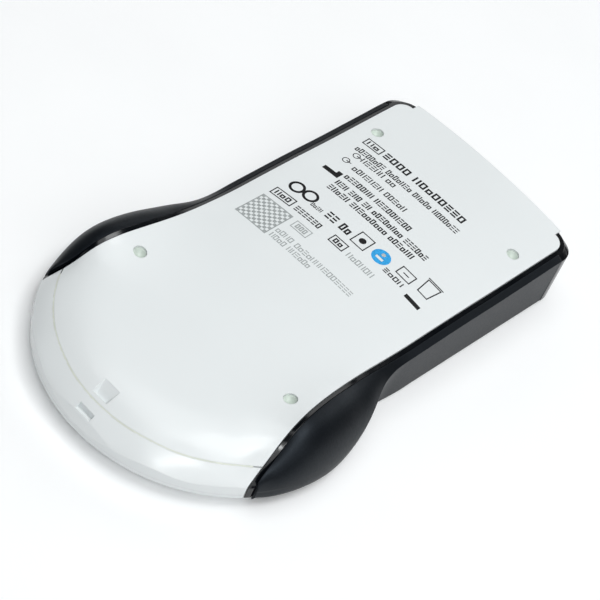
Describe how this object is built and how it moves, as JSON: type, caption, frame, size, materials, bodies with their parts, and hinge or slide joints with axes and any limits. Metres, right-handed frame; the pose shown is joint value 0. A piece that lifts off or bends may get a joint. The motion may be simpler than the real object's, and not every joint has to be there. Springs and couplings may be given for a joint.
{
  "type": "tens unit",
  "caption": "Hand-held two-channel nerve stimulator with a round head and a narrow body; white back cover, black sides, keys and display on the hidden front.",
  "frame": {"origin": "middle of the bounding box on the resting plane, under the front face", "axes": "+Y from the round head to the narrow socket end, +Z from the front face to the back cover, +X to the right when the back is seen with the narrow end up"},
  "size_m": [0.0786, 0.1353, 0.017],
  "materials": {
    "white_plastic": "smooth gloss, cool off-white",
    "black_gloss": "polished black",
    "black_satin": "fine spark-eroded satin texture",
    "window_glass": "dark glossy display window",
    "lcd_glass": "display glass",
    "clear_plastic": "clear moulded plastic",
    "seal_rubber": "matte silicone",
    "steel": "plain steel",
    "film": "matte film",
    "board_green": "solder mask",
    "chip_black": "moulded black",
    "ferrite": "dark ceramic core",
    "copper": "enamelled copper winding",
    "capacitor_can": "aluminium can",
    "cell_foil": "pouch foil",
    "foam": "soft foam",
    "wire_red": "insulated wire",
    "connector_white": "moulded nylon",
    "contact_metal": "gold-plated contact",
    "key_grey": "soft-touch key",
    "lamp_green": "indicator lamp"
  },
  "bodies": {
    "housing": {"back_cover": "white_plastic", "head_end_cover": "white_plastic", "front_shell": "white_plastic", "housing_frame": "black_gloss", "left_grip": "black_satin", "right_grip": "black_satin", "display_window": "window_glass", "lcd_glass": "lcd_glass", "lcd_holder": "clear_plastic", "lcd_connector": "seal_rubber", "switch_domes": "steel", "dome_spacer": "film", "main_board": "board_green", "controller_chip": "chip_black", "board_chips": "chip_black", "left_transformer": "ferrite", "right_transformer": "ferrite", "left_winding": "copper", "right_winding": "copper", "storage_capacitors": "capacitor_can", "buzzer": "chip_black", "battery_cell": "cell_foil", "battery_foam": "foam", "battery_leads": "wire_red", "battery_connector": "connector_white", "left_output_socket": "black_gloss", "right_output_socket": "black_gloss", "left_socket_contact": "contact_metal", "right_socket_contact": "contact_metal", "dc_socket": "black_satin", "housing_screws": "steel", "board_screws": "steel", "cover_gasket": "seal_rubber", "light_pipe": "clear_plastic", "charge_lamp": "lamp_green"},
    "key_power": {"key_power": "key_grey"},
    "key_select": {"key_select": "key_grey"},
    "key_program": {"key_program": "key_grey"},
    "key_left_up": {"key_left_up": "key_grey"},
    "key_left_down": {"key_left_down": "key_grey"},
    "key_right_up": {"key_right_up": "key_grey"},
    "key_right_down": {"key_right_down": "key_grey"}
  },
  "joints": [
    {"name": "key_power_press", "type": "slide", "parent": "housing", "child": "key_power", "axis": [0, 0, 1], "range_m": [0, 0.0004], "stiffness_N_per_m": 1500},
    {"name": "key_select_press", "type": "slide", "parent": "housing", "child": "key_select", "axis": [0, 0, 1], "range_m": [0, 0.0004], "stiffness_N_per_m": 1500},
    {"name": "key_program_press", "type": "slide", "parent": "housing", "child": "key_program", "axis": [0, 0, 1], "range_m": [0, 0.0004], "stiffness_N_per_m": 1500},
    {"name": "key_left_up_press", "type": "slide", "parent": "housing", "child": "key_left_up", "axis": [0, 0, 1], "range_m": [0, 0.0004], "stiffness_N_per_m": 1500},
    {"name": "key_left_down_press", "type": "slide", "parent": "housing", "child": "key_left_down", "axis": [0, 0, 1], "range_m": [0, 0.0004], "stiffness_N_per_m": 1500},
    {"name": "key_right_up_press", "type": "slide", "parent": "housing", "child": "key_right_up", "axis": [0, 0, 1], "range_m": [0, 0.0004], "stiffness_N_per_m": 1500},
    {"name": "key_right_down_press", "type": "slide", "parent": "housing", "child": "key_right_down", "axis": [0, 0, 1], "range_m": [0, 0.0004], "stiffness_N_per_m": 1500}
  ]
}
